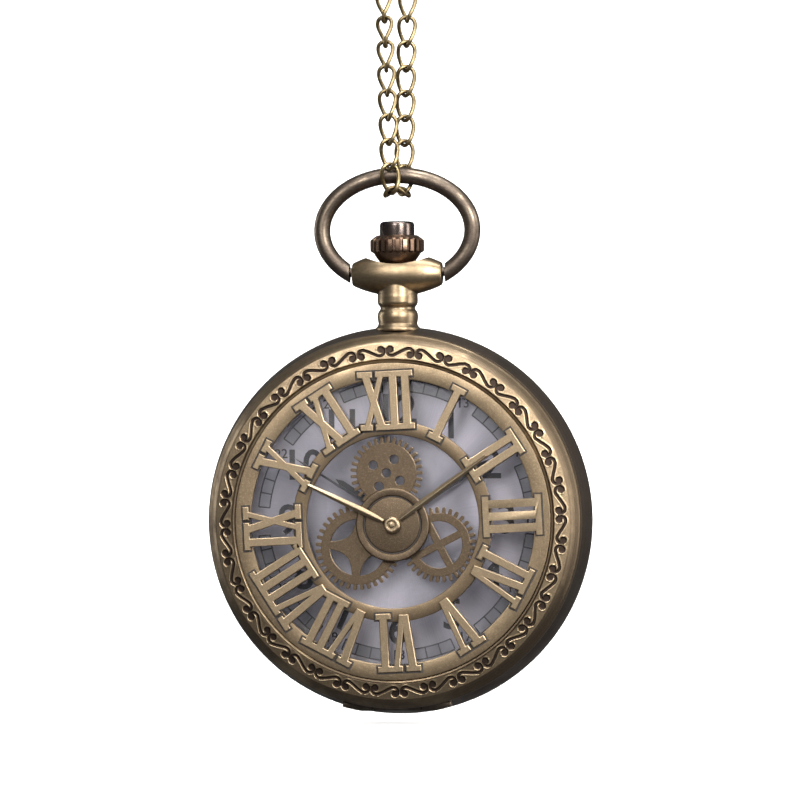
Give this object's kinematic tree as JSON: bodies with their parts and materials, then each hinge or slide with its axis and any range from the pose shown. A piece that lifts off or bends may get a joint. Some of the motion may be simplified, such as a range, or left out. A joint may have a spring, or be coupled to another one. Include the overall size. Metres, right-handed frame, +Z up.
{
  "type": "pocket watch",
  "caption": "Hunter pocket watch with an openwork hinged cover of numerals and wheels, push-button crown, bow, and a doubled curb chain on a lobster clasp.",
  "frame": {"origin": "inside top of the clasp's hook, the point the watch hangs from", "axes": "+Z up, the dial faces -Y, +X to the right as seen from the front"},
  "size_m": [0.047, 0.0151, 0.1063],
  "materials": {
    "antique_brass": "antiqued cast brass, dark in the recesses, worn bright on the edges",
    "case_bronze": "brushed dark bronze plating",
    "dark_bronze": "dark bronze, satin",
    "warm_bronze": "copper-toned bronze, polished on the flutes",
    "movement_brass": "plain turned brass",
    "movement_steel": "plain",
    "coil_copper": "enamelled copper winding",
    "dial_silver": "satin silvery grey with black print",
    "hand_black": "black",
    "crystal_glass": "clear",
    "holder_plastic": "moulded",
    "board_green": "solder mask"
  },
  "bodies": {
    "clasp": {"clasp_body": "antique_brass", "clasp_pin": "dark_bronze"},
    "lever": {"clasp_lever": "antique_brass"},
    "chain": {"end_ring": "antique_brass", "chain_link_wrap": "antique_brass", "chain_link_left_1": "antique_brass", "chain_link_left_2": "antique_brass", "chain_link_left_3": "antique_brass", "chain_link_left_4": "antique_brass", "chain_link_left_5": "antique_brass", "chain_link_left_6": "antique_brass", "chain_link_left_7": "antique_brass", "chain_link_left_8": "antique_brass", "chain_link_left_9": "antique_brass", "chain_link_right_1": "antique_brass", "chain_link_right_2": "antique_brass", "chain_link_right_3": "antique_brass", "chain_link_right_4": "antique_brass", "chain_link_right_5": "antique_brass", "chain_link_right_6": "antique_brass", "chain_link_right_7": "antique_brass", "chain_link_right_8": "antique_brass", "chain_link_right_9": "antique_brass"},
    "bow": {"bow": "case_bronze"},
    "case": {"pendant": "antique_brass", "case_band": "case_bronze", "back_cover": "case_bronze", "hinge_pin": "dark_bronze", "bezel_ring": "dark_bronze", "crystal": "crystal_glass", "dial": "dial_silver", "movement_holder": "holder_plastic", "main_plate": "movement_steel", "battery": "movement_steel", "circuit_board": "board_green", "quartz_can": "movement_steel", "coil": "coil_copper", "stator": "movement_steel"},
    "cover": {"cover_frame": "antique_brass", "gear_top": "antique_brass", "gear_left": "antique_brass", "gear_right": "antique_brass", "centre_disc": "antique_brass", "decor_hour_hand": "antique_brass", "decor_minute_hand": "antique_brass", "centre_cap": "antique_brass"},
    "sleeve": {"crown_sleeve": "movement_steel"},
    "crown": {"crown": "warm_bronze"},
    "button": {"push_button": "dark_bronze"},
    "latch": {"latch": "movement_steel"},
    "second": {"second_hand": "hand_black", "second_wheel": "movement_brass"},
    "minute": {"minute_hand": "hand_black", "centre_wheel": "movement_brass"},
    "hour": {"hour_hand": "hand_black", "hour_wheel": "movement_brass"},
    "third": {"third_wheel": "movement_brass"},
    "intermediate": {"intermediate_wheel": "movement_brass"},
    "rotor": {"rotor": "movement_brass"},
    "motion": {"minute_wheel": "movement_brass"}
  },
  "joints": [
    {"name": "clasp_lever_open", "type": "hinge", "parent": "clasp", "child": "lever", "pos_m": [0.00102, -0.00135, -0.0053], "axis": [-0.7986, -0.6018, 0], "range_deg": [0, 25], "stiffness_Nm_per_rad": 0.01},
    {"name": "chain_swing", "type": "hinge", "parent": "clasp", "child": "chain", "pos_m": [0, 0, -0.0129], "axis": [-0.6018, 0.7986, 0], "range_deg": [-25, 25]},
    {"name": "bow_on_chain", "type": "hinge", "parent": "chain", "child": "bow", "pos_m": [0, 0, -0.03932], "axis": [1, 0, 0], "range_deg": [-40, 40]},
    {"name": "bow_pivot", "type": "hinge", "parent": "bow", "child": "case", "pos_m": [0, 0, -0.05107], "axis": [1, 0, 0], "range_deg": [-105, 105]},
    {"name": "cover_open", "type": "hinge", "parent": "case", "child": "cover", "pos_m": [0, -0.00335, -0.10332], "axis": [1, 0, 0], "range_deg": [0, 95]},
    {"name": "crown_pull", "type": "slide", "parent": "case", "child": "sleeve", "axis": [0, 0, 1], "range_m": [0, 0.001]},
    {"name": "crown_turn", "type": "hinge", "parent": "sleeve", "child": "crown", "pos_m": [0, 0, -0.04762], "axis": [0, 0, 1], "continuous": true},
    {"name": "button_press", "type": "slide", "parent": "crown", "child": "button", "axis": [0, 0, -1], "range_m": [0, 0.0007], "stiffness_N_per_m": 600},
    {"name": "latch_slide", "type": "slide", "parent": "case", "child": "latch", "axis": [0, 0, -1], "range_m": [0, 0.0007]},
    {"name": "second_turn", "type": "hinge", "parent": "case", "child": "second", "pos_m": [0, 0, -0.08122], "axis": [0, 1, 0], "continuous": true},
    {"name": "minute_turn", "type": "hinge", "parent": "case", "child": "minute", "pos_m": [0, 0, -0.08122], "axis": [0, 1, 0], "continuous": true},
    {"name": "hour_turn", "type": "hinge", "parent": "case", "child": "hour", "pos_m": [0, 0, -0.08122], "axis": [0, 1, 0], "continuous": true},
    {"name": "third_turn", "type": "hinge", "parent": "case", "child": "third", "pos_m": [-0.00319, 0, -0.08238], "axis": [0, 1, 0], "continuous": true},
    {"name": "intermediate_turn", "type": "hinge", "parent": "case", "child": "intermediate", "pos_m": [0.0023, 0, -0.08315], "axis": [0, 1, 0], "continuous": true},
    {"name": "rotor_turn", "type": "hinge", "parent": "case", "child": "rotor", "pos_m": [0.00517, 0, -0.0842], "axis": [0, 1, 0], "continuous": true},
    {"name": "motion_turn", "type": "hinge", "parent": "case", "child": "motion", "pos_m": [-0.00165, 0, -0.07836], "axis": [0, 1, 0], "continuous": true}
  ],
  "couplings": [
    {"joint": "minute_turn", "follows": "second_turn", "ratio": 0.016667},
    {"joint": "hour_turn", "follows": "second_turn", "ratio": 0.0013889},
    {"joint": "third_turn", "follows": "second_turn", "ratio": -0.13333},
    {"joint": "intermediate_turn", "follows": "second_turn", "ratio": -4},
    {"joint": "rotor_turn", "follows": "second_turn", "ratio": 30},
    {"joint": "motion_turn", "follows": "second_turn", "ratio": -0.0055556},
    {"joint": "latch_slide", "follows": "button_press", "ratio": 1}
  ]
}
